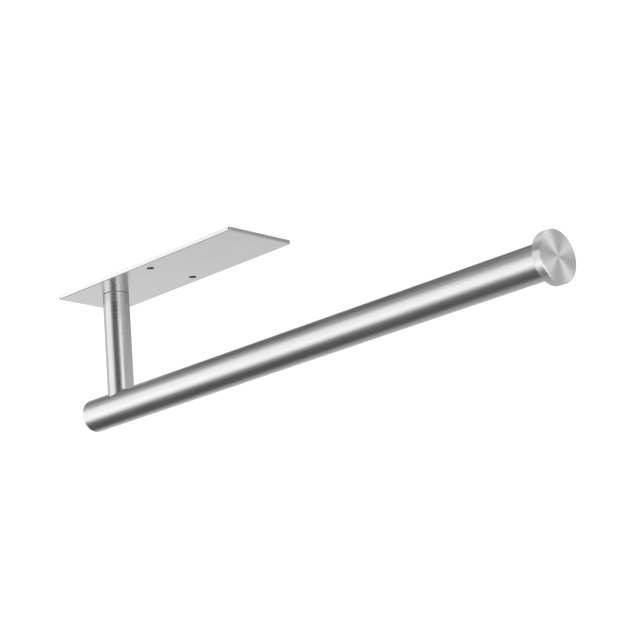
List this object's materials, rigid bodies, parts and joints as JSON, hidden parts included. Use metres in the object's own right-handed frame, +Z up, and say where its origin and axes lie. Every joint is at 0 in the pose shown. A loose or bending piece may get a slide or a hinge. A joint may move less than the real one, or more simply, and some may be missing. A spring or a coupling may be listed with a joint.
{
  "type": "paper towel holder",
  "caption": "Under-cabinet paper towel holder: a flat plate with a hanging round post that carries a long horizontal bar by one end, with a disc at the bar's free end.",
  "frame": {"origin": "centre of the face that meets the underside of the cabinet, on the back of the adhesive pad", "axes": "+Z up into the cabinet, +X along the bar towards its free end with the disc, +Y across the plate"},
  "size_m": [0.33, 0.044, 0.0796],
  "materials": {
    "brushed_stainless": "fine brushed, bright",
    "plain_stainless": "plain machined",
    "foam": "matt closed-cell foam"
  },
  "bodies": {
    "root": {"mounting_plate": "brushed_stainless", "adhesive_pad": "foam", "post": "brushed_stainless", "locating_pin": "plain_stainless", "tie_screw": "plain_stainless", "saddle_nut": "plain_stainless", "bar_tube": "brushed_stainless", "end_plug": "brushed_stainless", "end_disc": "brushed_stainless"}
  },
  "joints": []
}
